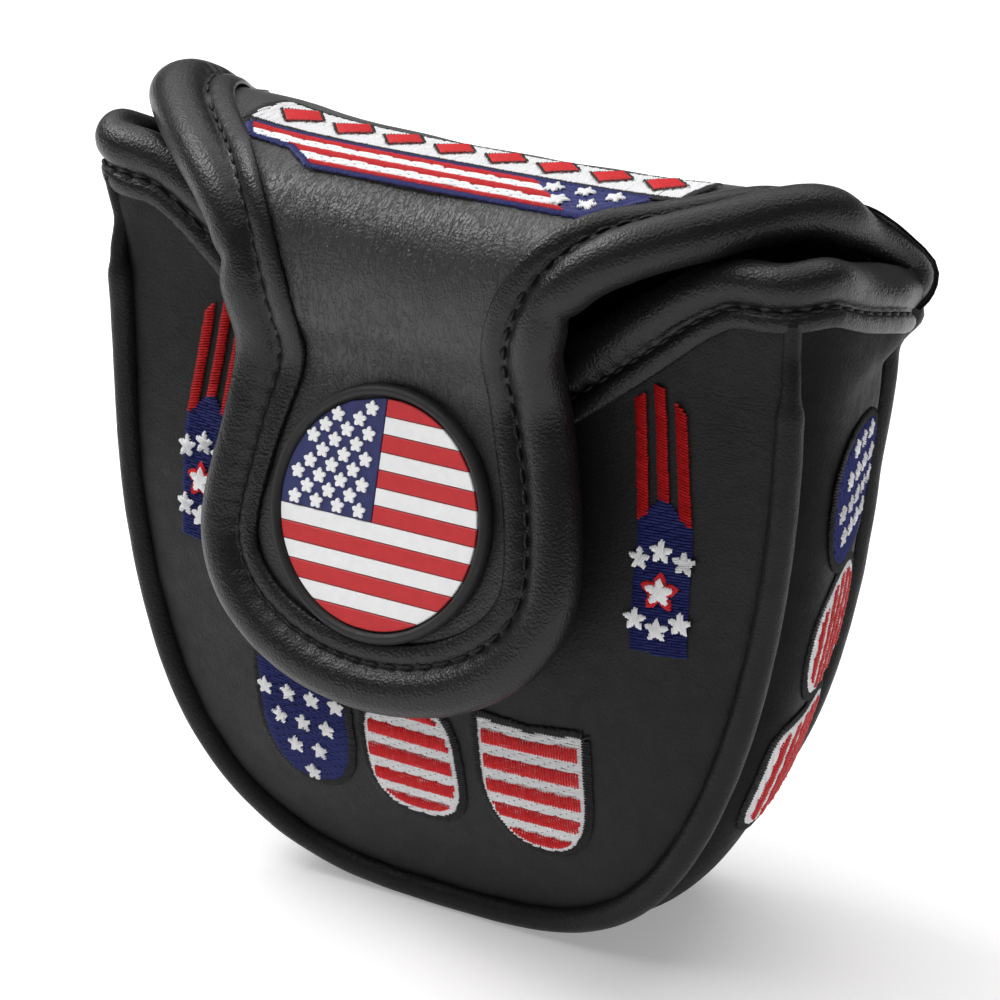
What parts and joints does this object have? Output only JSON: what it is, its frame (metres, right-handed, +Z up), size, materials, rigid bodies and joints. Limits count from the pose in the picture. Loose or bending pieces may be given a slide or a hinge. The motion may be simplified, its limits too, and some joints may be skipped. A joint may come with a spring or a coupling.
{
  "type": "putter head cover",
  "caption": "Padded black leather cover for a mallet putter head, with a fold-over flap held by hidden magnets, bound edges, a round badge and small embroidered motifs.",
  "frame": {"origin": "on the flat stretch under the cover's base, midway across its width", "axes": "+X across the cover, to the right as seen from the front; +Y from the front, where the flap's tip and badge are, to the back; +Z up from the base to the mouth"},
  "size_m": [0.1312, 0.0668, 0.125],
  "materials": {
    "leather": "fine-grained black synthetic leather, semi-gloss",
    "binding_leather": "smooth black synthetic leather, semi-gloss",
    "piping_leather": "black synthetic leather over a cord",
    "foam": "open-cell padding, matt",
    "lining": "dark plush knit, matt",
    "filler": "soft fibre cord, matt",
    "magnet": "plated disc magnet",
    "badge_rubber": "moulded soft rubber, satin",
    "badge_stripes": "moulded red and white stripes, satin",
    "badge_canton": "moulded navy field with small white stars, satin",
    "navy_thread": "satin-stitch embroidery",
    "red_thread": "satin-stitch embroidery"
  },
  "bodies": {
    "pouch": {"front_panel": "leather", "front_foam": "foam", "front_lining": "lining", "back_panel": "leather", "back_foam": "foam", "back_lining": "lining", "gusset_panel": "leather", "gusset_foam": "foam", "gusset_lining": "lining", "front_piping": "piping_leather", "back_piping": "piping_leather", "mouth_binding": "binding_leather", "mouth_binding_filler": "filler", "panel_magnet": "magnet", "front_emblem_left": "navy_thread", "front_emblem_middle": "red_thread", "front_emblem_right": "red_thread", "side_motif_left": "red_thread", "side_motif_right": "red_thread", "gusset_emblem_top": "navy_thread", "gusset_emblem_middle": "red_thread", "gusset_emblem_bottom": "red_thread"},
    "flap_crown": {"crown_leather": "leather", "crown_foam": "foam", "crown_lining": "lining", "crown_binding_left": "binding_leather", "crown_binding_left_filler": "filler", "crown_binding_right": "binding_leather", "crown_binding_right_filler": "filler", "crown_ribbon": "red_thread"},
    "flap_tip": {"tip_leather": "leather", "tip_foam": "foam", "tip_lining": "lining", "tip_binding": "binding_leather", "tip_binding_filler": "filler", "badge_base": "badge_rubber", "badge_stripes": "badge_stripes", "badge_canton": "badge_canton", "flap_magnet": "magnet"}
  },
  "joints": [
    {"name": "flap_hinge", "type": "hinge", "parent": "pouch", "child": "flap_crown", "pos_m": [0, 0.02135, 0.1066], "axis": [-1, 0, 0], "range_deg": [0, 120]},
    {"name": "flap_tip_fold", "type": "hinge", "parent": "flap_crown", "child": "flap_tip", "pos_m": [0, -0.02859, 0.1156], "axis": [-1, 0, 0], "range_deg": [0, 90]}
  ]
}
